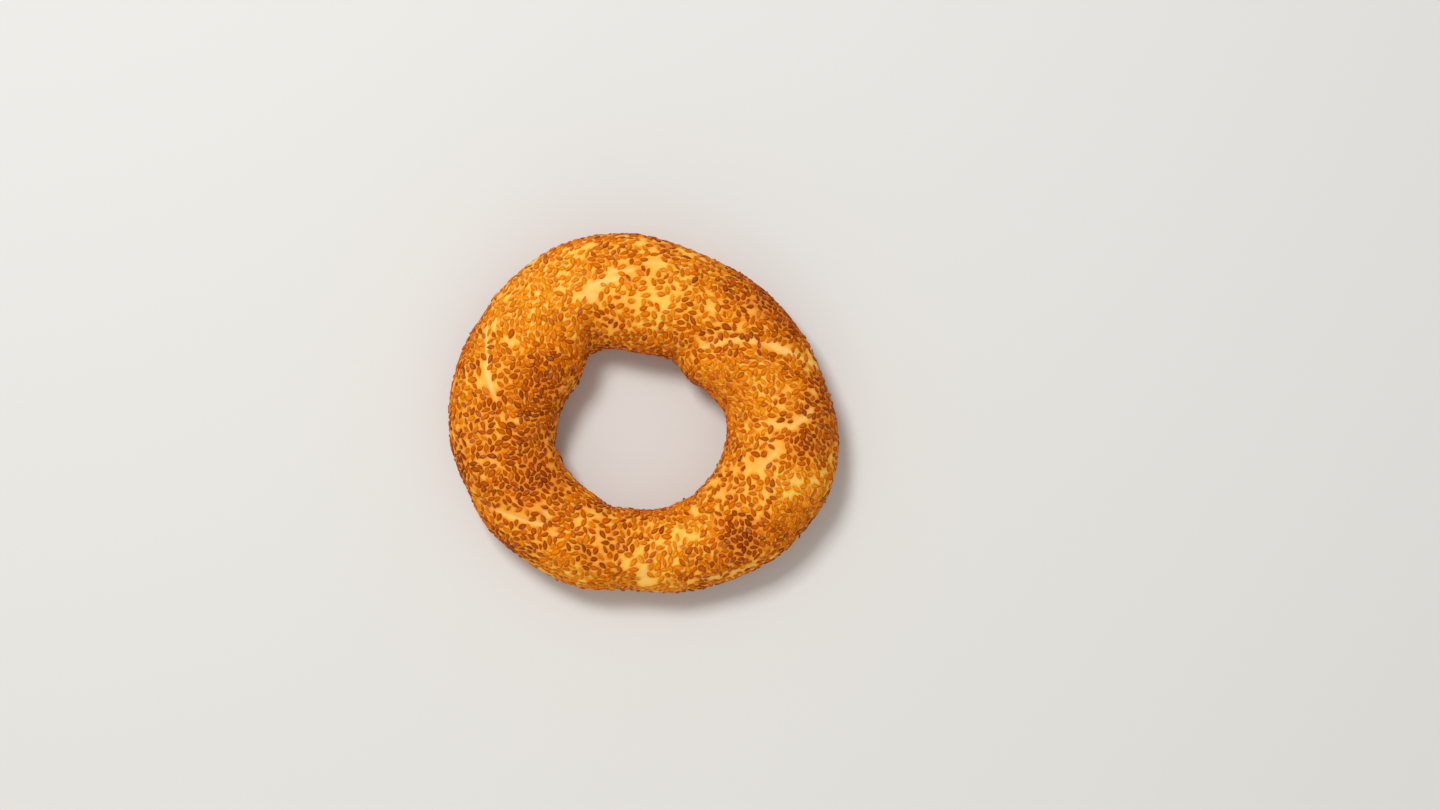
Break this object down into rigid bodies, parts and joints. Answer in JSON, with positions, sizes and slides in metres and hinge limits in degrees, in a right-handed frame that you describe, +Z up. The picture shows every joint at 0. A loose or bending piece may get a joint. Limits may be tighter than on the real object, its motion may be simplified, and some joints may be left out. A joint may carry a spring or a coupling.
{
  "type": "simit",
  "caption": "Ring bread of two dough strands twisted together, coated with sesame seeds and baked golden brown. It lies on its flat underside.",
  "frame": {"origin": "on the plane of the flat underside, under the middle of the outline", "axes": "+Z up through the hole, +X along the widest way across, towards the knob where the dough's ends were joined, +Y across"},
  "size_m": [0.1463, 0.1348, 0.0358],
  "materials": {
    "crust": "baked dough, satin",
    "sesame": "toasted seed, satin"
  },
  "bodies": {
    "root": {"simit": "crust"}
  },
  "joints": []
}
